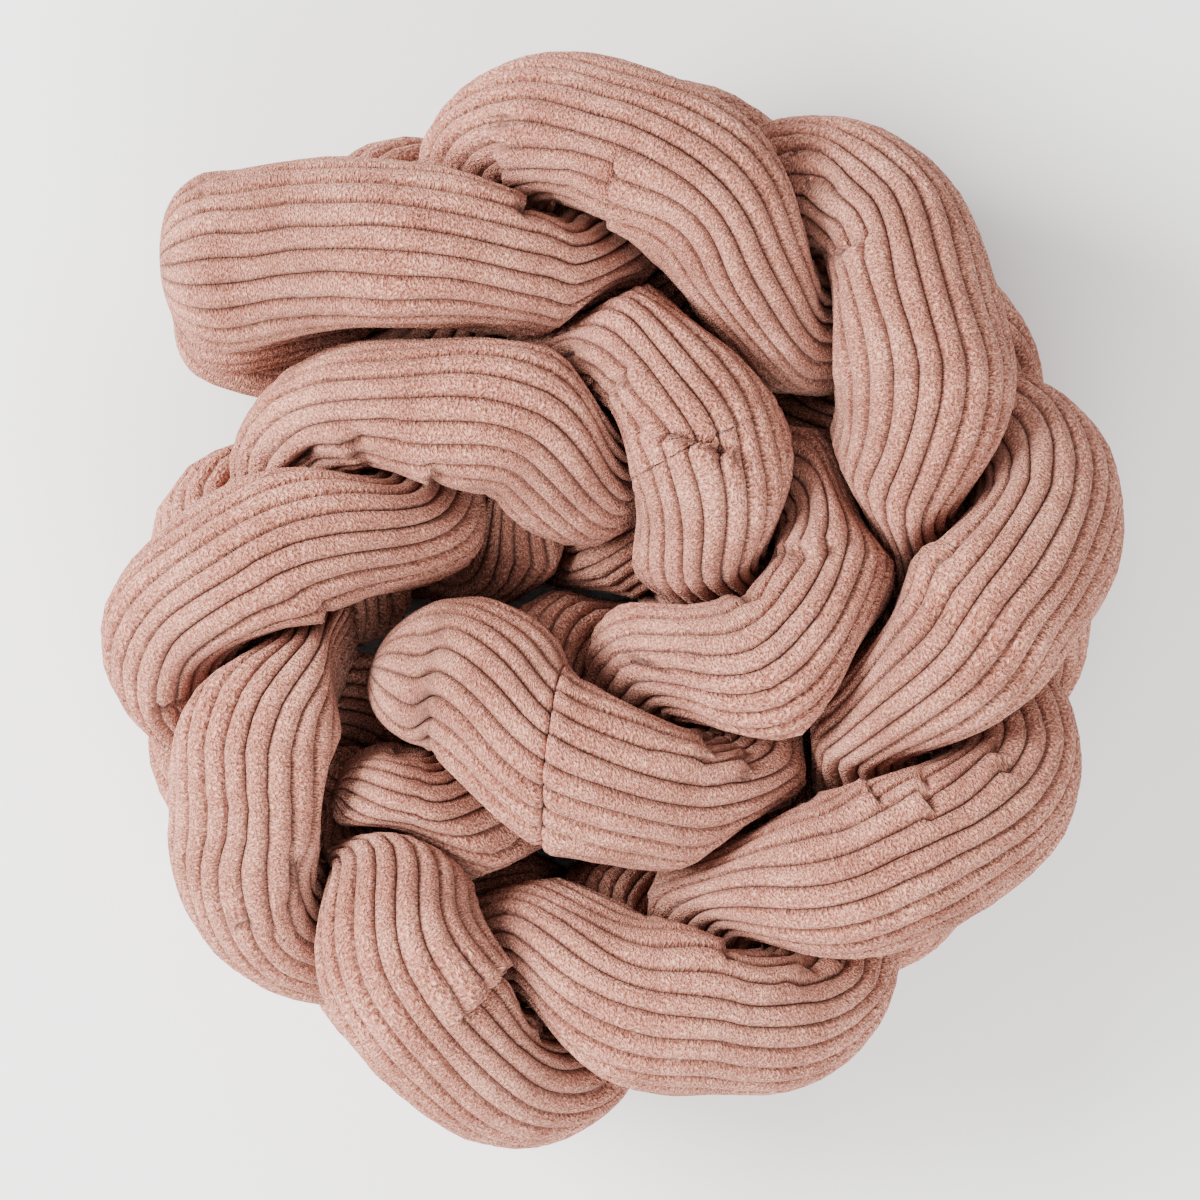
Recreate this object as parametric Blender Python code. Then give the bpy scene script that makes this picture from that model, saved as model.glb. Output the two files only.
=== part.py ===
"""Braided crib bumper: three stuffed corduroy tubes in a flat plait, which stands on its edge and is coiled."""

import math

import bmesh
import bpy
import numpy as np

# Everything is in metres, with +Z up, the floor at z = 0 and the origin under the middle of the coil.
RISE = 0.052  # a strand's middle goes this far above and below the plait's middle
SWAY = 0.025  # and about this far to its outer and its inner side
DIVE = 0.24  # share of a quicker wave, which hurries a strand through the plait's middle
LEVEL = 0.087  # height of the plait's middle
ROUNDING = 0.008  # how softly a tube's round part turns into a pressed part
LAP = 0.06  # share of their distance by which a tube above takes room from one below
CLEARANCE = 0.0006  # from a tube's side to the plane between it and its neighbour
SELF_REACH = 0.055  # past this distance along itself a tube can press on itself
END_DEPTH = 0.032  # length over which a closed end rounds off
END_POWER = 2.2  # 2 makes a round end, more makes a boxier one
SIDES, SPACING = 14, 0.0135  # corners round a tube, and the distance between its rings
END_RINGS = 5

# The plait's middle in plan, a row for each crossing over the top, clockwise from the outer end to the inner one.
# Half is the radius of a tube's free side there. Spread scales the sway, tuck pulls the foot of the plait inwards,
# and lift raises its top.
COIL = (
    # step, x, y, half, spread, tuck, lift
    (-0.95, -0.204, 0.148, 0.0430, 0.20, -0.006, 0.000),
    (0, -0.091, 0.156, 0.0430, 1.00, 0.014, 0.004),
    (1, 0.032, 0.189, 0.0405, 1.00, 0.020, 0.000),
    (2, 0.141, 0.103, 0.0430, 1.00, 0.014, -0.002),
    (3, 0.164, -0.010, 0.0440, 1.00, 0.014, 0.006),
    (4, 0.118, -0.119, 0.0430, 1.00, 0.019, -0.002),
    (5, 0.020, -0.182, 0.0410, 0.80, 0.027, -0.003),
    (6, -0.086, -0.170, 0.0425, 0.80, 0.020, 0.006),
    (7, -0.157, -0.069, 0.0425, 0.90, 0.014, 0.000),
    (8, -0.152, 0.017, 0.0420, 0.85, -0.003, 0.000),
    (9, -0.062, 0.088, 0.0425, 0.80, 0.055, 0.000),
    (10, 0.041, 0.070, 0.0425, 0.95, 0.045, -0.004),
    (11, 0.079, -0.021, 0.0410, 0.80, 0.026, -0.002),
    (12, -0.013, -0.075, 0.0415, 1.05, 0.034, 0.006),
    (13, -0.118, -0.060, 0.0490, 1.10, 0.016, 0.014),
)
CENTRE = (0.0010, -0.0002)  # middle of the coil's box in the plan above
PLAITED = (-0.25, 12.5)  # beyond these steps the strands run side by side to their ends
EASING = 0.12  # steps over which the plaiting stops
NEARBY = 1e-4  # steps between two points that give a line's direction

# Strand 1 is sewn from two lengths of tube, which meet end to end at this step.
JOINED_STRAND, JOINT_STEP = 0, 12.10
JOINT_GAP = 0.0003
JOINT_DIP, JOINT_REACH = 0.0015, 0.005  # the seam draws the tube in this much, over this length
NAMES = (("strand_1_long", "strand_1_end"), ("strand_2",), ("strand_3",))
DUSTY_ROSE = (0.50, 0.29, 0.235, 1)


def spline(knots, values, at):
    """A natural cubic spline through the values at the knots."""
    gaps = np.diff(knots)
    slopes = np.diff(values) / gaps
    system = np.eye(len(knots))
    right = np.zeros(len(knots))
    for i in range(1, len(knots) - 1):
        system[i, i - 1 : i + 2] = gaps[i - 1], 2 * (gaps[i - 1] + gaps[i]), gaps[i]
        right[i] = 6 * (slopes[i] - slopes[i - 1])
    bends = np.linalg.solve(system, right)
    i = np.clip(np.searchsorted(knots, at) - 1, 0, len(gaps) - 1)
    passed, left, gap = at - knots[i], knots[i + 1] - at, gaps[i]
    return (
        (bends[i] * left**3 + bends[i + 1] * passed**3) / (6 * gap)
        + (values[i] / gap - bends[i] * gap / 6) * left
        + (values[i + 1] / gap - bends[i + 1] * gap / 6) * passed
    )


def eased(steps):
    """The steps, but standing still beyond the plaited stretch."""
    first, last = PLAITED
    steps = first + EASING * np.log1p(np.exp((steps - first) / EASING))
    return last - EASING * np.log1p(np.exp((last - steps) / EASING))


def middle(strand, steps):
    """Points on the middle line of a strand, at these steps along the plait."""
    knots, xs, ys, _, *rest = np.array(COIL).T
    spread, tuck, lift = (np.interp(steps, knots, values) for values in rest)
    here, ahead = (
        np.array([spline(knots, values, at) for values in (xs, ys)]) for at in (steps, steps + NEARBY)
    )
    forward_x, forward_y = (ahead - here) / np.hypot(*(ahead - here))
    angle = math.pi / 2 + math.tau / 3 * (eased(steps) - strand)
    height = np.sin(angle)
    out = spread * SWAY * (np.sin(2 * angle) + DIVE * np.sin(4 * angle)) - tuck * ((1 - height) / 2) ** 2
    return np.column_stack(
        (
            here[0] - CENTRE[0] - forward_y * out,
            here[1] - CENTRE[1] + forward_x * out,
            LEVEL + RISE * height + lift * (1 + height) / 2,
        )
    )


def measured(strand):
    """Close steps along a strand, the points there, and how far along the strand they are."""
    steps = np.linspace(COIL[0][0], COIL[-1][0], 3000)
    points = middle(strand, steps)
    strides = np.linalg.norm(np.diff(points, axis=0), axis=1)
    return steps, points, np.concatenate(([0], np.cumsum(strides)))


def ring_places(strand):
    """Distances along a strand at which the rings of each of its pieces stand."""
    steps, _, length = measured(strand)
    total = length[-1]
    closing = END_DEPTH * (1 - np.cos(np.linspace(0, math.pi / 2, END_RINGS + 1)[1:-1]))
    edges = [END_DEPTH, total - END_DEPTH]
    if strand == JOINED_STRAND:
        joint = np.interp(JOINT_STEP, steps, length)
        edges[1:1] = [joint - JOINT_GAP / 2, joint + JOINT_GAP / 2]
    pieces = [
        np.linspace(start, end, round((end - start) / SPACING) + 1)
        for start, end in zip(edges[::2], edges[1::2])
    ]
    pieces[0] = np.concatenate((closing, pieces[0]))
    pieces[-1] = np.concatenate((pieces[-1], total - closing[::-1]))
    return pieces


def rays_round(strand, steps):
    """At each step, directions across a strand at even angles, which don't twist along it."""
    along = middle(strand, steps + NEARBY) - middle(strand, steps - NEARBY)
    along /= np.linalg.norm(along, axis=1, keepdims=True)
    side = np.cross(along[0], (0, 0, 1))
    sides = []
    for direction in along:
        side = side - direction * side.dot(direction)
        side /= np.linalg.norm(side)
        sides.append(side)
    turns = np.linspace(0, math.tau, 2 * SIDES, endpoint=False)[:, None]
    over = np.cross(along, sides)
    return np.array([np.cos(turns) * a + np.sin(turns) * b for a, b in zip(sides, over)])


def room(centre, rays, others):
    """How far each ray goes before it comes to the planes shared with another tube, about half way to it."""
    away = others - centre
    distance = np.linalg.norm(away, axis=1)
    own = distance * (distance / 2 - LAP * away[:, 2])
    toward = rays @ away.T
    meets = toward > 1e-6
    return np.where(meets, own / np.where(meets, toward, 1), 1.0).min(1)


def soft_least(radii, limits):
    return -ROUNDING * np.log(np.exp(-radii / ROUNDING) + np.exp(-limits / ROUNDING))


def drawn_in(radii, limits):
    """The radii, less at corners between which an edge or a face would pass the limits half way."""
    for _ in range(12):
        after = np.roll(radii, -1, axis=1)
        across = 2 * radii * after * math.cos(math.pi / SIDES) / (radii + after)
        past_edge = across - limits[::2, 1::2]
        past_line = (radii[:-1] + radii[1:]) / 2 - limits[1::2, ::2]
        past_face = (across[:-1] + across[1:]) / 2 - limits[1::2, 1::2]
        past_side = np.maximum(past_line, np.maximum(past_face, np.roll(past_face, 1, axis=1)))
        past = np.maximum(past_edge, np.roll(past_edge, 1, axis=1))
        past[:-1] = np.maximum(past[:-1], past_side)
        past[1:] = np.maximum(past[1:], past_side)
        past = np.maximum(past, 0)
        # Each corner takes some of its neighbours' pull along, so that no single one is left as a dent.
        beside = np.maximum(np.roll(past, 1, axis=1), np.roll(past, -1, axis=1))
        beside[1:] = np.maximum(beside[1:], past[:-1])
        beside[:-1] = np.maximum(beside[:-1], past[1:])
        radii = radii - np.maximum(past, beside / 2)
    return radii


def tube(strand):
    """Rings of points on the skin of a strand, a list for each of its pieces."""
    steps, points, length = measured(strand)
    pieces = ring_places(strand)
    places = np.concatenate(pieces)
    # The limits are found at twice as many rings and rays as the skin has, for the middles of its faces.
    finer = np.interp(np.arange(2 * len(places) - 1) / 2, np.arange(len(places)), places)
    ring_steps = np.interp(finer, length, steps)
    centres = middle(strand, ring_steps)
    rays = rays_round(strand, ring_steps)
    others = np.concatenate([measured(other)[1][::8] for other in range(3) if other != strand])
    limits = []
    for place, centre, across in zip(finer, centres, rays):
        itself = points[abs(length - place) > SELF_REACH][::8]
        limits.append(room(centre, across, np.concatenate((others, itself))) - CLEARANCE)
    limits = np.array(limits)
    centres, rays = centres[::2], rays[::2, ::2]
    knots, _, _, half, *_ = np.array(COIL).T
    free = np.interp(ring_steps[::2], knots, half)
    radii = soft_least(free[:, None], limits[::2, ::2])
    from_end = np.minimum(places, length[-1] - places).clip(0, END_DEPTH) / END_DEPTH
    radii *= ((1 - (1 - from_end) ** END_POWER) ** (1 / END_POWER))[:, None]
    radii = drawn_in(radii, limits)
    if strand == JOINED_STRAND:
        from_joint = places - np.interp(JOINT_STEP, steps, length)
        radii -= JOINT_DIP * np.exp(-((from_joint / JOINT_REACH) ** 2))[:, None]
    down = -rays[:, :, 2]
    falls = down > 1e-6
    radii = np.where(falls, np.minimum(radii, centres[:, 2:] / np.where(falls, down, 1)), radii)
    skin = centres[:, None] + radii[:, :, None] * rays
    return np.split(skin, np.cumsum([len(piece) for piece in pieces])[:-1])


def corduroy(name):
    material = bpy.data.materials.new(name)
    material.use_nodes = True
    finish = material.node_tree.nodes["Principled BSDF"].inputs
    finish["Base Color"].default_value = DUSTY_ROSE
    finish["Roughness"].default_value = 0.95
    finish["Metallic"].default_value = 0
    return material


def add_piece(name, rings, collection):
    """A closed skin over the rings, with a flat face at each end."""
    skin = bmesh.new()
    rows = [[skin.verts.new(point) for point in ring] for ring in rings]
    for row, following in zip(rows, rows[1:]):
        for i in range(SIDES):
            after = (i + 1) % SIDES
            skin.faces.new((row[i], row[after], following[after], following[i]))
    skin.faces.new(reversed(rows[0]))
    skin.faces.new(rows[-1])
    bmesh.ops.recalc_face_normals(skin, faces=skin.faces)
    mesh = bpy.data.meshes.new(name)
    skin.to_mesh(mesh)
    skin.free()
    mesh.shade_smooth()
    mesh.materials.append(corduroy(name))
    collection.objects.link(bpy.data.objects.new(name, mesh))


for thing in list(bpy.data.objects):
    bpy.data.objects.remove(thing)
bumper = bpy.data.collections.new("braided_crib_bumper")
bpy.context.scene.collection.children.link(bumper)
for strand, names in enumerate(NAMES):
    for name, rings in zip(names, tube(strand)):
        add_piece(name, rings, bumper)
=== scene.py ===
"""Braided crib bumper: the corduroy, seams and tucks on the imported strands, and the studio round them."""

import math

import bpy
import numpy as np
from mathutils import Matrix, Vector


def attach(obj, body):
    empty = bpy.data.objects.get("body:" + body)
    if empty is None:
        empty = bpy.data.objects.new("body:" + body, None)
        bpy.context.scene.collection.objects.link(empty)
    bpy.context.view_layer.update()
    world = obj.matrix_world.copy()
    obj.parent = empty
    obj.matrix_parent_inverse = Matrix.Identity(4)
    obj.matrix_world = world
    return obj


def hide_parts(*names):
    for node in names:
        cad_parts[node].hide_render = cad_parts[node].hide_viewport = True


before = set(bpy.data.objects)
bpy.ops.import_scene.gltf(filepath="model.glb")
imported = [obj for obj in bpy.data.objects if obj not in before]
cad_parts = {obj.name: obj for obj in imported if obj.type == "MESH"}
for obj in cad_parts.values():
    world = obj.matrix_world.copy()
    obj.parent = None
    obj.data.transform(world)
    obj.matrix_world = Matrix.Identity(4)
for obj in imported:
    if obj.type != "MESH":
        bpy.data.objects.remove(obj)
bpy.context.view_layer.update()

# --------------------------------------------------------------------------------------------------
# Strand two of the plait: a tube sewn from wide-wale corduroy and stuffed with fibre. The ribs run
# along it, and the cloth is taken up in tucks on the inner side of each bend. Both ends are
# gathered closed.
# --------------------------------------------------------------------------------------------------
# The distance round a free tube.
GIRTH = 0.266
# How far a strand rises and sways from the plait's middle, how much more steeply than a plain wave
# it dives under, and how high the plait's middle is.
RISE, SWAY, DIVE, LEVEL = 0.052, 0.025, 0.24, 0.087
# How softly a tube's round side passes into its pressed flats, how much of the room between two
# strands the upper one takes over, and the gap left between them.
ROUNDING, LAP, CLEARANCE = 0.008, 0.06, 0.0006
# A strand presses on itself only where it is farther off than this along its own length.
SELF_REACH = 0.055
# How long a closed end is, and how blunt.
END_DEPTH, END_POWER = 0.032, 2.2
# How far the coil's outline is from its table's origin.
CENTRE = (0.0010, -0.0002)
# The first and last plaited steps, how gently the strands run straight beyond them, and the short
# step that a direction is taken over.
PLAITED, EASING, NEARBY = (-0.25, 12.5), 0.12, 1e-4
# A strand is measured at this many places, and its neighbours are looked for at every eighth.
MEASURES, THINNED = 3000, 8
# A ray that turns toward a plane by less than this doesn't meet it, and then has this much room.
FACING, AMPLE = 1e-6, 1.0
# The plait's middle in plan, a row for each crossing over the top, clockwise from the outer end to
# the inner one.
COIL = (
    # step, x, y, half, spread, tuck, lift
    (-0.95, -0.204, 0.148, 0.0430, 0.20, -0.006, 0.000),
    (0, -0.091, 0.156, 0.0430, 1.00, 0.014, 0.004),
    (1, 0.032, 0.189, 0.0405, 1.00, 0.020, 0.000),
    (2, 0.141, 0.103, 0.0430, 1.00, 0.014, -0.002),
    (3, 0.164, -0.010, 0.0440, 1.00, 0.014, 0.006),
    (4, 0.118, -0.119, 0.0430, 1.00, 0.019, -0.002),
    (5, 0.020, -0.182, 0.0410, 0.80, 0.027, -0.003),
    (6, -0.086, -0.170, 0.0425, 0.80, 0.020, 0.006),
    (7, -0.157, -0.069, 0.0425, 0.90, 0.014, 0.000),
    (8, -0.152, 0.017, 0.0420, 0.85, -0.003, 0.000),
    (9, -0.062, 0.088, 0.0425, 0.80, 0.055, 0.000),
    (10, 0.041, 0.070, 0.0425, 0.95, 0.045, -0.004),
    (11, 0.079, -0.021, 0.0410, 0.80, 0.026, -0.002),
    (12, -0.013, -0.075, 0.0415, 1.05, 0.034, 0.006),
    (13, -0.118, -0.060, 0.0490, 1.10, 0.016, 0.014),
)


def spline(knots, values, at):
    """A natural cubic spline through the values at the knots."""
    gaps = np.diff(knots)
    slopes = np.diff(values) / gaps
    system = np.eye(len(knots))
    right = np.zeros(len(knots))
    for i in range(1, len(knots) - 1):
        system[i, i - 1 : i + 2] = gaps[i - 1], 2 * (gaps[i - 1] + gaps[i]), gaps[i]
        right[i] = 6 * (slopes[i] - slopes[i - 1])
    bends = np.linalg.solve(system, right)
    i = np.clip(np.searchsorted(knots, at) - 1, 0, len(gaps) - 1)
    passed, left, gap = at - knots[i], knots[i + 1] - at, gaps[i]
    return (
        (bends[i] * left**3 + bends[i + 1] * passed**3) / (6 * gap)
        + (values[i] / gap - bends[i] * gap / 6) * left
        + (values[i + 1] / gap - bends[i + 1] * gap / 6) * passed
    )


def eased(steps):
    """Steps along the plait, held at its first and last plaited steps beyond them."""
    first, last = PLAITED
    steps = first + EASING * np.log1p(np.exp((steps - first) / EASING))
    return last - EASING * np.log1p(np.exp((last - steps) / EASING))


def middle(strand, steps):
    """Points on the middle line of a strand, at these steps along the plait."""
    knots, xs, ys, _, *rest = np.array(COIL).T
    spread, tuck, lift = (np.interp(steps, knots, values) for values in rest)
    here, ahead = (
        np.array([spline(knots, values, at) for values in (xs, ys)])
        for at in (steps, steps + NEARBY)
    )
    forward_x, forward_y = (ahead - here) / np.hypot(*(ahead - here))
    angle = math.pi / 2 + math.tau / 3 * (eased(steps) - strand)
    height = np.sin(angle)
    sway = spread * SWAY * (np.sin(2 * angle) + DIVE * np.sin(4 * angle))
    out = sway - tuck * ((1 - height) / 2) ** 2
    return np.column_stack(
        (
            here[0] - CENTRE[0] - forward_y * out,
            here[1] - CENTRE[1] + forward_x * out,
            LEVEL + RISE * height + lift * (1 + height) / 2,
        )
    )


def measured(strand):
    """A strand's steps from end to end, its middle line there, and its length up to each of them."""
    steps = np.linspace(COIL[0][0], COIL[-1][0], MEASURES)
    points = middle(strand, steps)
    strides = np.linalg.norm(np.diff(points, axis=0), axis=1)
    return steps, points, np.concatenate(([0], np.cumsum(strides)))


def across(strand, steps):
    """Two directions across a strand at each step, which don't twist along it, and its own."""
    along = middle(strand, steps + NEARBY) - middle(strand, steps - NEARBY)
    along /= np.linalg.norm(along, axis=1, keepdims=True)
    side = np.cross(along[0], (0, 0, 1))
    sides = []
    for direction in along:
        side = side - direction * side.dot(direction)
        side /= np.linalg.norm(side)
        sides.append(side)
    return np.array(sides), np.cross(along, sides), along


def rays_round(sides, overs, turns):
    """Directions away from the middle line at these turns round it."""
    return np.cos(turns)[..., None] * sides[:, None] + np.sin(turns)[..., None] * overs[:, None]


def rooms(strand, places, centres, rays):
    """How far each ray goes before the planes shared with the other strands and with its own."""
    _, points, length = measured(strand)
    others = np.concatenate([measured(n)[1][::THINNED] for n in range(3) if n != strand])
    limits = []
    for place, centre, ring in zip(places, centres, rays):
        itself = points[abs(length - place) > SELF_REACH][::THINNED]
        away = np.concatenate((others, itself)) - centre
        distance = np.linalg.norm(away, axis=1)
        own = distance * (distance / 2 - LAP * away[:, 2])
        toward = ring @ away.T
        meets = toward > FACING
        limits.append(np.where(meets, own / np.where(meets, toward, 1), AMPLE).min(1))
    return np.array(limits) - CLEARANCE


def soft_least(radii, limits):
    """The lesser of two distances, rounded off where they are nearly the same."""
    return -ROUNDING * np.log(np.exp(-radii / ROUNDING) + np.exp(-limits / ROUNDING))


# Where the cloth is taken up: a crease seen from above, at a place, with a heading and a length. The
# cloth on its left laps over the cloth on its right by the height given, and the ribs are moved
# aside by a number of ribs.
TUCKS = {
    0: (
        # x, y, heading, length, lap, ribs
        (-0.182, 0.183, -90, 0.018, 0.0022, 0.5),
        (-0.040, 0.182, 85, 0.024, 0.0034, 0.5),
        (0.181, 0.095, 210, 0.026, 0.0036, 0.5),
        (0.174, 0.076, 238, 0.018, 0.0026, 0.5),
        (0.170, 0.067, 210, 0.017, 0.0030, 0.5),
        (0.139, 0.021, 207, 0.020, 0.0022, 0.5),
        (-0.055, -0.172, 50, 0.040, 0.0042, 0.5),
        (-0.031, -0.190, 55, 0.018, 0.0030, 0.5),
        (-0.009, -0.217, 60, 0.022, 0.0034, 0.5),
        (-0.144, 0.064, 33, 0.024, 0.0034, 0.5),
        (-0.117, 0.068, 105, 0.021, 0.0034, 0.5),
        (-0.084, 0.053, 75, 0.018, 0.0028, 0.5),
        (0.059, -0.074, 90, 0.018, 0.0030, 0.5),
        (0.041, -0.066, 110, 0.016, 0.0026, 0.5),
    ),
    1: (
        (-0.047, 0.198, -88, 0.058, 0.0070, 0.5),
        (0.003, 0.183, 261, 0.036, 0.0046, 0.5),
        (0.175, -0.074, 107, 0.026, 0.0036, 0.5),
        (0.139, -0.088, 102, 0.024, 0.0030, 0.5),
        (0.115, -0.087, 120, 0.014, 0.0020, 0.5),
        (-0.156, -0.147, -12, 0.038, 0.0042, 0.5),
        (-0.142, -0.125, 90, 0.024, 0.0024, 0.5),
        (-0.016, 0.107, 230, 0.022, 0.0032, 0.5),
        (0.007, 0.097, 236, 0.022, 0.0028, 0.5),
        (0.036, 0.068, 164, 0.056, 0.0060, 0.5),
        (-0.093, -0.063, 20, 0.018, 0.0030, 0.5),
    ),
    2: (
        (0.086, 0.201, 157, 0.023, 0.0040, 0.5),
        (0.095, 0.185, 170, 0.016, 0.0026, 0.5),
        (0.109, 0.157, 207, 0.024, 0.0032, 0.5),
        (0.087, -0.166, 53, 0.020, 0.0030, 0.5),
        (0.050, -0.153, 80, 0.015, 0.0016, 0.5),
        (0.103, -0.165, 60, 0.017, 0.0026, 0.5),
        (-0.199, -0.046, 26, 0.028, 0.0036, 0.5),
        (-0.132, -0.009, 60, 0.018, 0.0028, 0.5),
        (0.089, 0.024, 6, 0.034, 0.0040, 0.5),
        (0.054, 0.000, 158, 0.034, 0.0030, 0.5),
        (0.014, -0.030, 154, 0.022, 0.0030, 0.5),
    ),
}
# How far along the strand a tuck reaches.
TUCK_REACH = 0.05
# How sharp a crease is, where its steepness ends, and how far it swings between groove and crown.
FOLD, STEEPEST, SCALLOP = 0.0004, 30, 0.0048
# A tuck shows on the upper skin only: how high over the middle line it starts, and how softly.
UPPER_FROM, UPPER_SOFT = 0.004, 0.003
# The lapping cloth stands up by this share of the lap, and how far that goes on.
LEDGE, OVER_FALL = 1.3, 0.013
# The cloth under it sinks by these shares: a little for a long way, and more in a narrow trench.
SINK, UNDER_FALL = 0.5, 0.010
TRENCH, TRENCH_FALL = 1.8, 0.0026
# The two edges are drawn together by this share of the lap, and how far that goes on.
DRAW, DRAW_FALL = 0.5, 0.004
# How far from a crease the ribs are still moved aside.
STEP_FALL = 0.024
# The painted shadow line of a fold, where the grooves also go deeper: how far behind the crease it lies, and
# how wide it is.
LINE_BACK, LINE_WIDTH = 0.0006, 0.0013


def tuck_places(strand):
    """How far along the strand each of its tucks is: the nearest place in plan on its upper half."""
    _, points, length = measured(strand)
    upper = points[:, 2] > LEVEL
    plan = points[upper, :2] + CENTRE
    return [length[upper][np.hypot(*(plan - (x, y)).T).argmin()] for x, y, *_ in TUCKS[strand]]


def gathered(strand, places, points, centres, course, crowns):
    """The skin's rise at the tucks, its push along the strand, its step in ribs, and the line along each fold
    where shadow is painted.
    """
    rise, push, step, fold = np.zeros((4, *points.shape[:2]))
    for place, (x, y, heading, length, lap, ribs) in zip(tuck_places(strand), TUCKS[strand]):
        near = abs(places - place) < TUCK_REACH
        if not near.any():
            continue
        onward = np.array((math.cos(math.radians(heading)), math.sin(math.radians(heading))))
        leftward = np.array((-onward[1], onward[0]))
        plan = points[near, :, :2] + CENTRE - (x, y)
        forward, past = plan @ onward, plan @ leftward + SCALLOP * (crowns - 0.5)
        raised = points[near, :, 2] - centres[near, None, 2] - UPPER_FROM
        above = 1 / (1 + np.exp(-raised / UPPER_SOFT))
        held = np.clip(1 - (2 * forward / length) ** 2, 0, 1) * above
        over = 1 / (1 + np.exp(-np.clip(past / FOLD, -STEEPEST, STEEPEST)))
        beyond, before = np.maximum(past, 0), np.maximum(-past, 0)
        facing = math.copysign(1, leftward @ course[abs(places - place).argmin(), :2])
        ledge = over * LEDGE * np.exp(-beyond / OVER_FALL)
        sunk = SINK * np.exp(-before / UNDER_FALL) + TRENCH * np.exp(-before / TRENCH_FALL)
        rise[near] += held * lap * (ledge - (1 - over) * sunk)
        edge = over * np.exp(-beyond / DRAW_FALL) - (1 - over) * np.exp(-before / DRAW_FALL)
        push[near] -= facing * held * DRAW * lap * edge
        side = over * np.exp(-beyond / STEP_FALL) - (1 - over) * np.exp(-before / STEP_FALL)
        step[near] += held * ribs / 2 * side
        # The line along the fold: its grooves go deeper, and the corduroy paints shadow on it.
        fold[near] += held**0.5 * np.exp(-(((past + LINE_BACK) / LINE_WIDTH) ** 2))
    return rise, push, step, fold


# How many ribs there are round a tube, and how deep the grooves between them are.
RIBS = 21
RIB_DEPTH = 0.0042
# Where the points of one rib stand, from groove to groove, and how high each is.
RIB_SHAPE = (
    # share of the pitch, share of the height
    (0.00, 0.00),
    (0.07, 0.50),
    (0.20, 0.82),
    (0.39, 1.00),
    (0.61, 1.00),
    (0.80, 0.82),
    (0.93, 0.50),
)
# How far apart the rings of points stand, how many more of them there are at a tuck, within what
# length of it, and how many places their spacing is worked out at.
RING_SPACING = 0.0054
FINE, FINE_REACH, TRIALS = 4.6, 0.007, 4000
# The waves of an uneven field are between these shares of its pace.
PACES = (0.6, 1.4)
# How many turns a ring's outline is worked out at, and how many rings the ribs' drift is evened over.
TURNS, DRIFT_RINGS = 240, 31
# How far a rib wanders, in ribs, and in waves how long.
WANDER, WANDER_WAVE = 0.06, 0.045
# The inner side of a bend: how far from the middle line it is pressed, and how much at most.
PRESSED_AT, PRESSED_MOST = 0.042, 1.2
# Its buckles: their depth, their length, how narrow they are, and how many waves make them.
BUCKLE_DEPTH, BUCKLE_WAVE, BUCKLE_WIDTH, BUCKLE_COUNT = 0.0045, 0.028, 0.35, 30
# The filling under the cloth: a long swell, a lump here and there in a rib, and a fine roughness.
SWELL, SWELL_WAVE = 0.0009, 0.055
LUMP, LUMP_RINGS, ROUGH = 0.00030, 5, 0.00018
# How much deeper a groove is at a fold, and how soon the grooves are whole behind a closed end.
FOLD_DEEPER, WHOLE_BY = 0.5, 1.4
# How far the skin may go past the room it has, and how close to the middle line it may come.
PAST_ROOM, THINNEST = 0.0003, 0.0004
# How the seam of strand one leans across the strand, and how far from it the cloth follows.
SEAM_LEAN, LEAN_REACH = -0.36, 0.045


def ring_places(strand, start, end):
    """Places for the rings of a length of tube, closer together at the tucks."""
    even = np.linspace(start, end, TRIALS)
    rate = np.ones_like(even)
    for place in tuck_places(strand):
        rate += FINE * np.exp(-(((even - place) / FINE_REACH) ** 2))
    rate = np.minimum(rate, 1 + FINE)
    count = np.concatenate(([0], np.cumsum(rate[1:] * np.diff(even)))) / RING_SPACING
    return np.interp(np.linspace(0, count[-1], round(count[-1]) + 1), count, even)


def smoothed(values, width):
    """Values evened out along their first axis."""
    kernel = np.hanning(width + 2)[1:-1]
    padded = np.pad(values, ((width // 2, width // 2), (0, 0)), mode="edge")
    return np.array([np.convolve(column, kernel / kernel.sum(), "valid") for column in padded.T]).T


def unevenness(seed, along, round_it, wave, count=24):
    """A smooth uneven field over a tube's skin, about -1 to 1, in waves of about this length."""
    draw = np.random.default_rng(seed)
    field = np.zeros((len(along), len(round_it)))
    for _ in range(count):
        angle = draw.uniform(0, math.tau)
        pace = draw.uniform(*PACES) * math.tau / wave
        rounds = round(pace * math.sin(angle) * GIRTH / math.tau) * math.tau
        start = draw.uniform(0, math.tau)
        field += np.sin(pace * math.cos(angle) * along[:, None] + rounds * round_it + start)
    return field / math.sqrt(count)


def read_round(turns, values, at):
    """Values known at even turns round each ring, read at other turns."""
    place = (at / math.tau * len(turns)) % len(turns)
    low = place.astype(int) % len(turns)
    mix = place % 1
    rows = np.arange(len(values))[:, None]
    return values[rows, low] * (1 - mix) + values[rows, (low + 1) % len(turns)] * mix


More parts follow.
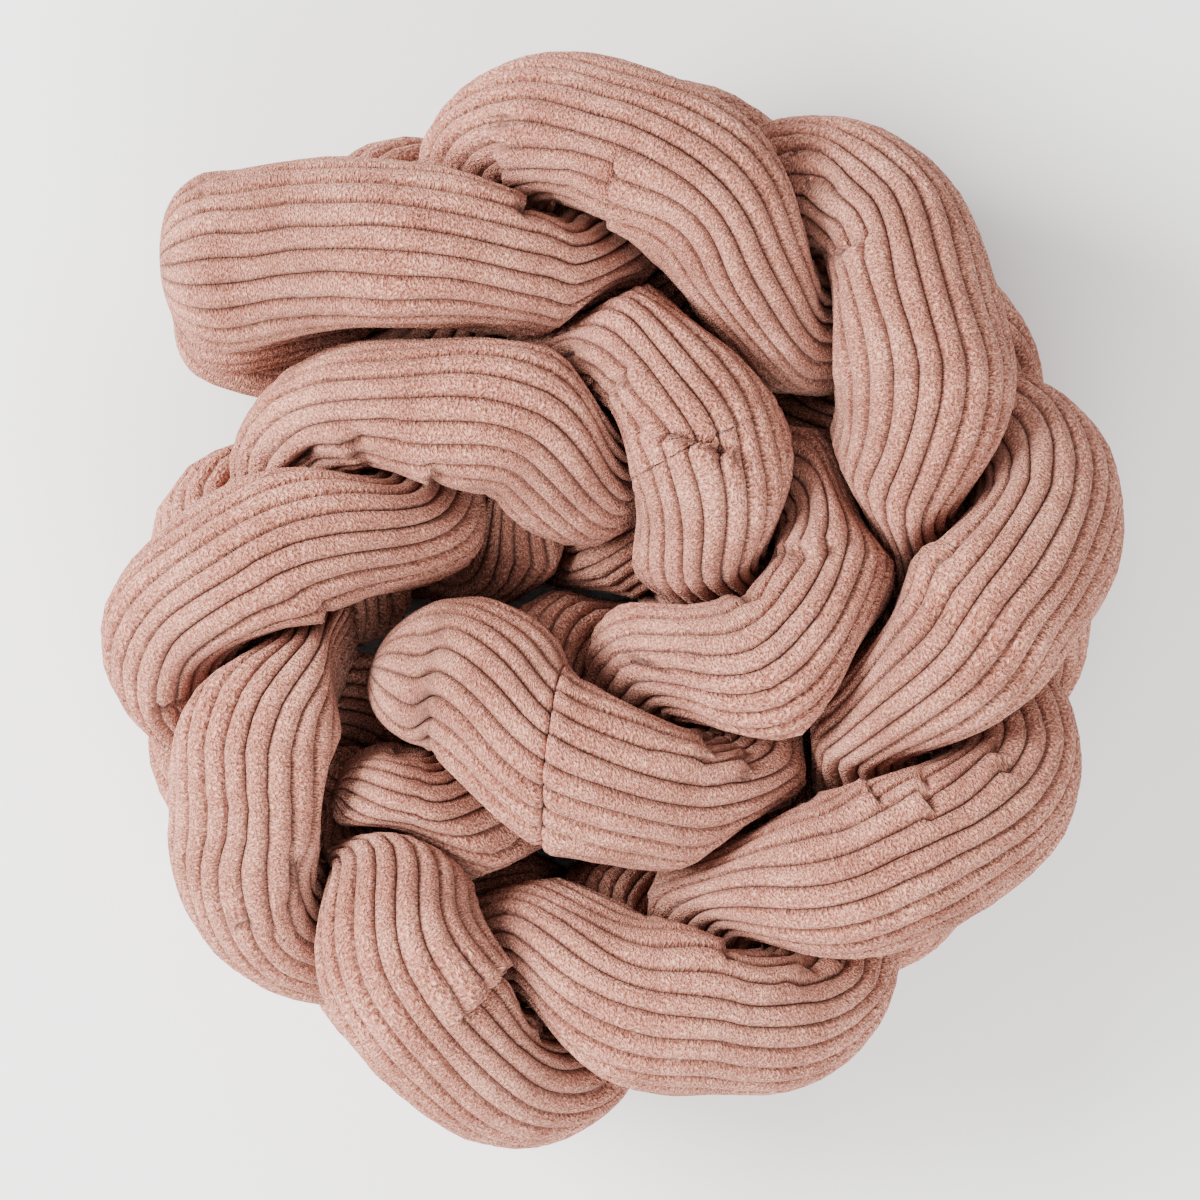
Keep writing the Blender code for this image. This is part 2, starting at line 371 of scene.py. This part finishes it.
def ribbed_skin(strand, places, total, seed, phase=0.0, seam=None):
    """Rings of points on a strand's skin at these places, their middles, and the lines along the cloth's
    folds, where shadow is painted.
    """
    steps, _, length = measured(strand)
    ring_steps = np.interp(places, length, steps)
    centres = middle(strand, ring_steps)
    sides, overs, course = across(strand, ring_steps)
    knots, _, _, half, *_ = np.array(COIL).T
    turns = np.linspace(0, math.tau, TURNS, endpoint=False)
    every_way = rays_round(sides, overs, np.tile(turns, (len(places), 1)))
    limits = rooms(strand, places, centres, every_way)
    radii = soft_least(np.interp(ring_steps, knots, half)[:, None], limits)
    from_end = np.minimum(places, total - places).clip(0, END_DEPTH) / END_DEPTH
    closed = ((1 - (1 - from_end) ** END_POWER) ** (1 / END_POWER))[:, None]
    radii *= closed
    # The ribs lie evenly round the cloth, so their turns come from the distance round each ring.
    corners = radii[:, :, None] * np.column_stack((np.cos(turns), np.sin(turns)))
    strides = np.linalg.norm(np.roll(corners, -1, axis=1) - corners, axis=2)
    way = np.cumsum(strides, axis=1) - strides
    way /= strides.sum(1, keepdims=True)
    way -= smoothed((way - turns / math.tau).mean(1, keepdims=True), DRIFT_RINGS)
    share, height = np.array(RIB_SHAPE).T
    round_it = ((np.arange(RIBS)[:, None] + share + phase) / RIBS).ravel()
    crowns = np.tile(height, RIBS)
    three_laps = np.concatenate([turns + lap * math.tau for lap in (-1, 0, 1)])

    def turned(moved):
        """The turn of each point that stands this share of the way round its ring."""
        return np.array(
            [
                np.interp(row, np.concatenate((w - 1, w, w + 1)), three_laps)
                for row, w in zip(moved, way)
            ]
        )

    def standing(at):
        """The rays at these turns, and the points of the plain skin on them."""
        rays = rays_round(sides, overs, at)
        return rays, centres[:, None] + read_round(turns, radii, at)[:, :, None] * rays

    wander = WANDER * unevenness(seed + 2, places, round_it, WANDER_WAVE) * closed / RIBS
    _, points = standing(turned(round_it + wander))
    _, _, step, _ = gathered(strand, places, points, centres, course, crowns)
    at = turned(round_it + wander + step / RIBS)
    rays, points = standing(at)
    rise, push, _, fold = gathered(strand, places, points, centres, course, crowns)
    # The inner side of a bend has more cloth than it needs, which buckles into short cross creases.
    inward = np.einsum("rkc,rc->rk", rays, np.gradient(course, places, axis=0))
    pressed = np.clip(inward * PRESSED_AT, 0, PRESSED_MOST)
    buckle = unevenness(seed + 3, places, round_it, BUCKLE_WAVE, BUCKLE_COUNT)
    creased = np.clip(1 - abs(buckle) / BUCKLE_WIDTH, 0, 1) ** 2
    rise = rise - BUCKLE_DEPTH * pressed * creased * closed
    rise = rise + SWELL * unevenness(seed, places, round_it, SWELL_WAVE) * closed
    draw = np.random.default_rng(seed + 1)
    lumps = smoothed(draw.normal(size=(len(places), RIBS)), LUMP_RINGS)
    lumps = LUMP * np.repeat(lumps, len(share), axis=1) * crowns
    rise = rise + (lumps + ROUGH * draw.uniform(-1, 1, rise.shape)) * closed
    # The grooves go deeper along the fold lines, which the corduroy also paints as shadow.
    deeper = 1 + FOLD_DEEPER * fold
    rise = rise - RIB_DEPTH * deeper * (1 - crowns) * np.minimum(1, closed * WHOLE_BY)
    if seam:
        ridge, nearness = seam(places)
        rise = rise + ridge[:, None]
        leftward = np.column_stack((-course[:, 1], course[:, 0]))
        aside = np.einsum("rkd,rd->rk", (points - centres[:, None])[:, :, :2], leftward)
        push = push + SEAM_LEAN * aside * nearness[:, None]
    radii_here, limits_here = read_round(turns, radii, at), read_round(turns, limits, at)
    radii_here = np.minimum(radii_here + rise, limits_here + PAST_ROOM)
    radii_here = np.clip(radii_here, THINNEST, None)
    falls = -rays[:, :, 2] > FACING
    to_floor = centres[:, 2:] / np.where(falls, -rays[:, :, 2], 1)
    radii_here = np.where(falls, np.minimum(radii_here, to_floor), radii_here)
    skin = centres[:, None] + radii_here[:, :, None] * rays + push[:, :, None] * course[:, None]
    return skin, centres, np.minimum(fold, 1)


def sewn(name, places, skin, centres, fold):
    """A closed mesh over the rings, with a UV map in metres along the tube and in ribs round it."""
    rings, corners = skin.shape[:2]
    i, k = np.meshgrid(np.arange(rings - 1), np.arange(corners), indexing="ij")
    after = (k + 1) % corners
    here, ahead = i * corners, (i + 1) * corners
    quads = np.stack((here + k, here + after, ahead + after, ahead + k), -1)
    first, last = rings * corners, rings * corners + 1
    rim, next_rim = np.arange(corners), (np.arange(corners) + 1) % corners
    last_ring = first - corners
    caps = np.concatenate(
        (
            np.stack((np.full(corners, first), next_rim, rim), -1),
            np.stack((np.full(corners, last), last_ring + rim, last_ring + next_rim), -1),
        )
    )
    points = np.concatenate((skin.reshape(-1, 3), [centres[0], centres[-1]]))
    mesh = bpy.data.meshes.new(name)
    mesh.from_pydata(points.tolist(), [], quads.reshape(-1, 4).tolist() + caps.tolist())
    around = np.append((np.arange(RIBS)[:, None] + np.array(RIB_SHAPE)[:, 0]).ravel(), RIBS)
    u = np.stack((places[i], places[i], places[i + 1], places[i + 1]), -1).reshape(-1)
    v = np.stack((around[k], around[k + 1], around[k + 1], around[k]), -1).reshape(-1)
    cap_u = np.repeat(places[[0, -1]], 3 * corners)
    cap_v = np.concatenate(
        (
            np.stack((around[:-1], around[1:], around[:-1]), -1).ravel(),
            np.stack((around[:-1], around[:-1], around[1:]), -1).ravel(),
        )
    )
    layer = mesh.uv_layers.new(name="ribs")
    layer.data.foreach_set("uv", np.column_stack((np.append(u, cap_u), np.append(v, cap_v))).ravel())
    # The fold lines go with the mesh, for the corduroy to paint shadow along them.
    fold_shade_layer = mesh.attributes.new("fold", "FLOAT", "POINT")
    fold_shade_layer.data.foreach_set("value", np.append(fold.ravel(), (0, 0)))
    mesh.shade_smooth()
    piece = bpy.data.objects.new(name, mesh)
    bpy.context.scene.collection.objects.link(piece)
    return piece


# Where the rings of a closed end stand, behind its tip: close together first, then over its dome.
DOME = 1 - np.cos(np.linspace(0, math.pi / 2, 13)[1:-1])
CLOSING = np.concatenate(([0.0004, 0.002, 0.006], DOME)) * END_DEPTH


def strand_places(strand):
    """Places for the rings of a whole strand, closed at both ends, and its length."""
    total = measured(strand)[2][-1]
    body = ring_places(strand, END_DEPTH, total - END_DEPTH)
    return np.concatenate((CLOSING, body, total - CLOSING[::-1])), total


class Socket:
    """A shader socket that takes part in sums."""

    def __init__(self, tree, link):
        self.tree, self.link = tree, link

    def node(self, kind, settings=(), output=0, **values):
        made = self.tree.nodes.new("ShaderNode" + kind)
        for setting, value in dict(settings).items():
            if setting == "stops":
                ramp = made.color_ramp.elements
                while len(ramp) < len(value):
                    ramp.new(0.5)
                for stop, (place, colour) in zip(ramp, value):
                    stop.position, stop.color = place, (*colour, 1)
            else:
                setattr(made, setting, value)
        for socket, value in values.items():
            numbered = socket[1:].isdigit()
            into = made.inputs[int(socket[1:]) if numbered else socket.replace("_", " ")]
            if isinstance(value, Socket):
                self.tree.links.new(value.link, into)
            else:
                into.default_value = value
        return Socket(self.tree, made.outputs[output])

    def math(self, operation, *others):
        values = {f"i{n}": value for n, value in enumerate((self, *others))}
        return self.node("Math", {"operation": operation}, **values)

    def __add__(self, other):
        return self.math("ADD", other)

    def __mul__(self, other):
        return self.math("MULTIPLY", other)

    def __sub__(self, other):
        return self.math("SUBTRACT", other)

    def __pow__(self, other):
        return self.math("POWER", other)


# The pile's curls are drawn out across the rib, as if each rib were this wide.
CURL_LENGTH = 0.0066
# How fine the curls, the tufts and the worn patches are.
CURLS, TUFTS, PATCHES = 1300.0, 330.0, 38.0
# How fine the curls' straying is, and how far they stray.
STRAYING, STRAY = 300.0, 0.0016
# How narrow a groove's painted shade is, how dark it gets, and how deep the pile is.
GROOVE_POWER, SHADE, PILE_DEPTH = 6, 0.92, 0.0028
# The pile's colours: in painted shade between its curls, its own dusty rose, and with painted highlight on
# its curl tips and lighter patches; and painted shade at the bottom of a groove.
SHADED, ROSE, LIT_PILE = (0.19, 0.060, 0.038), (0.49, 0.185, 0.126), (0.95, 0.500, 0.370)
GROOVE_SHADE = (0.055, 0.015, 0.010, 1)


def corduroy():
    """Dusty rose corduroy: flat ribs of short curly pile, lighter and darker in patches, with painted shade
    in the grooves, along the folds and between the curls, and painted highlight on the curl tips.
    """
    material = bpy.data.materials.new("dusty_rose_corduroy")
    material.use_nodes = True
    tree = material.node_tree
    shader = tree.nodes["Principled BSDF"]
    start = Socket(tree, None)
    ribs = start.node("UVMap", {"uv_map": "ribs"})
    parts = ribs.node("SeparateXYZ", i0=ribs)
    around = Socket(tree, parts.link.node.outputs[1])
    along = Socket(tree, parts.link.node.outputs[0])
    # Painted shade: a mask along the bottom of each groove and along the fold lines, where shadow falls.
    groove = ((around.math("FRACT") - 0.5).math("ABSOLUTE") * 2) ** GROOVE_POWER
    fold = start.node("Attribute", {"attribute_name": "fold"}, output=2)
    painted_shade = groove.math("MAXIMUM", fold)
    place = start.node("TexCoord", output=3)
    solid, flat = {"noise_dimensions": "3D"}, {"noise_dimensions": "2D"}
    bent = start.node("TexNoise", solid, output=1, Vector=place, Scale=STRAYING, Detail=1.0)
    lying = start.node("CombineXYZ", i0=along, i1=around * CURL_LENGTH)
    astray = start.node(
        "VectorMath", {"operation": "MULTIPLY_ADD"}, i0=bent, i1=(STRAY, STRAY, 0), i2=lying
    )
    curls = start.node("TexNoise", flat, Vector=astray, Scale=CURLS, Detail=1.5, Roughness=0.6)
    tufts = start.node("TexNoise", solid, Vector=place, Scale=TUFTS, Detail=2.0, Roughness=0.6)
    patches = start.node(
        "TexNoise", solid, Vector=place, Scale=PATCHES, Detail=3.0, Roughness=0.55
    )
    # Painted light on the pile: the curl noise, which also raises the bump, darkens the colour between the
    # curls as painted shade and lightens their tips as painted highlight; tufts and patches make it lighter
    # and darker at random.
    pile_tone_and_light = (curls - 0.5) * 1.25 + (tufts - 0.5) * 0.3 + (patches - 0.5) * 0.55 + 0.5
    stops = ((0.15, SHADED), (0.5, ROSE), (0.85, LIT_PILE))
    pile = pile_tone_and_light.node("ValToRGB", {"stops": stops}, Fac=pile_tone_and_light)
    # The painted shade mixes the pile toward a near-black brown in the grooves and along the folds.
    mixed = start.node("Mix", {"data_type": "RGBA"}, output=2, i0=painted_shade * SHADE, i6=pile, i7=GROOVE_SHADE)
    height = curls + tufts * 0.5
    bump = start.node("Bump", Strength=1.0, Distance=PILE_DEPTH, Height=height)
    tree.links.new(mixed.link, shader.inputs["Base Color"])
    tree.links.new(bump.link, shader.inputs["Normal"])
    shader.inputs["Roughness"].default_value = 0.95
    shader.inputs["Specular IOR Level"].default_value = 0.15
    shader.inputs["Sheen Weight"].default_value = 0.18
    shader.inputs["Sheen Roughness"].default_value = 0.45
    shader.inputs["Sheen Tint"].default_value = (1.0, 0.80, 0.74, 1)
    return material


rose = corduroy()


def finished(piece, node):
    """Puts the corduroy on a strand, hangs it on the root body and hides the solid it stands for."""
    piece.data.materials.append(rose)
    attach(piece, "root")
    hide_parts(node)


places, total = strand_places(1)
finished(sewn("strand_two", places, *ribbed_skin(1, places, total, seed=20)), "strand_2")

# --------------------------------------------------------------------------------------------------
# Strand three of the plait: the same tube as strand two, of the same corduroy, stuffed and closed at
# both ends in the same way. Nothing is sewn to it: plaiting with the other two holds it.
# --------------------------------------------------------------------------------------------------
places, total = strand_places(2)
finished(sewn("strand_three", places, *ribbed_skin(2, places, total, seed=30)), "strand_3")

# --------------------------------------------------------------------------------------------------
# Strand one of the plait: the same corduroy tube, but made of two lengths sewn end to end near the
# inner end. The seam shows as a low ridge that leans across the strand, and the ribs of the two
# lengths don't meet at it.
# --------------------------------------------------------------------------------------------------
# The step along the plait where the seam is, and the gap between the two lengths.
JOINT_STEP, JOINT_GAP = 12.10, 0.0003
# How far from the seam its own rings stand, and how far off the others start.
SEAM_RINGS, SEAM_ROOM = np.array((0.0, 0.0006, 0.0016, 0.0032)), 0.006
# Where the ridge beside the seam is highest, which is also how wide it is.
RIDGE = 0.003
# How deep and how narrow the seam itself is.
SEAM_DEPTH, SEAM_WIDTH = 0.0028, 0.0008


def seam_edge(joint, lift):
    """The cloth's edge at the seam: rolled under, behind a low ridge."""

    def at_seam(places):
        """How far the skin rises at these places, and how nearly they are at the seam."""
        apart = abs(places - joint)
        ridge = lift * np.exp(-(((apart - RIDGE) / RIDGE) ** 2))
        nearness = np.exp(-(((places - joint) / LEAN_REACH) ** 2))
        return ridge - SEAM_DEPTH * np.exp(-apart / SEAM_WIDTH), nearness

    return at_seam


steps, _, length = measured(0)
total, joint = length[-1], np.interp(JOINT_STEP, steps, length)
before, behind = joint - JOINT_GAP / 2, joint + JOINT_GAP / 2
long_body = ring_places(0, END_DEPTH, before - SEAM_ROOM)
long_places = np.concatenate((CLOSING, long_body, before - SEAM_RINGS[::-1]))
end_body = ring_places(0, behind + SEAM_ROOM, total - END_DEPTH)
end_places = np.concatenate((behind + SEAM_RINGS, end_body, total - CLOSING[::-1]))
long_seam, end_seam = seam_edge(joint, lift=0.0010), seam_edge(joint, lift=0.0003)
long_skin = ribbed_skin(0, long_places, total, seed=10, seam=long_seam)
end_skin = ribbed_skin(0, end_places, total, seed=15, phase=0.5, seam=end_seam)
finished(sewn("strand_one_long", long_places, *long_skin), "strand_1_long")
finished(sewn("strand_one_end", end_places, *end_skin), "strand_1_end")

# --------------------------------------------------------------------------------------------------
# The studio: a pale floor, soft light and a camera straight above.
# --------------------------------------------------------------------------------------------------
# How far under the cloth the floor lies, and how high the lights aim.
FLOOR_DROP, AIM_HEIGHT = 0.0003, 0.1
bpy.ops.mesh.primitive_plane_add(size=8, location=(0, 0, -FLOOR_DROP))
floor = bpy.context.object
floor.name = "floor"
white = bpy.data.materials.new("pale_floor")
white.use_nodes = True
paint = white.node_tree.nodes["Principled BSDF"]
paint.inputs["Base Color"].default_value = (0.93, 0.93, 0.93, 1)
paint.inputs["Roughness"].default_value = 0.9
floor.data.materials.append(white)


def softbox(name, place, size, power, colour):
    """A square lamp that faces the coil."""
    light = bpy.data.objects.new(name, bpy.data.lights.new(name, "AREA"))
    light.data.size, light.data.energy, light.data.color = size, power, colour
    light.location = place
    aim = Vector((0, 0, AIM_HEIGHT)) - Vector(place)
    light.rotation_euler = aim.to_track_quat("-Z", "Y").to_euler()
    bpy.context.scene.collection.objects.link(light)


WARM = (1.0, 0.98, 0.96)
softbox("key", (-1.5, 0.35, 1.3), size=1.0, power=118, colour=WARM)
softbox("front", (0.2, -1.2, 1.4), size=1.2, power=46, colour=WARM)
world = bpy.data.worlds.new("studio")
bpy.context.scene.world = world
world.use_nodes = True
sky = world.node_tree.nodes["Background"]
sky.inputs["Color"].default_value = (1, 0.99, 0.98, 1)
sky.inputs["Strength"].default_value = 0.95

# How high over the crossings the camera hangs, how much it sees across, and how high they are.
VIEW_HEIGHT, VIEW_WIDTH, CROSSINGS = 1.85, 0.54, 0.15
camera = bpy.data.objects.new("camera", bpy.data.cameras.new("camera"))
camera.location = (-0.0055, 0.0002, CROSSINGS + VIEW_HEIGHT)
camera.data.lens = camera.data.sensor_width * VIEW_HEIGHT / VIEW_WIDTH
bpy.context.scene.collection.objects.link(camera)
bpy.context.scene.camera = camera
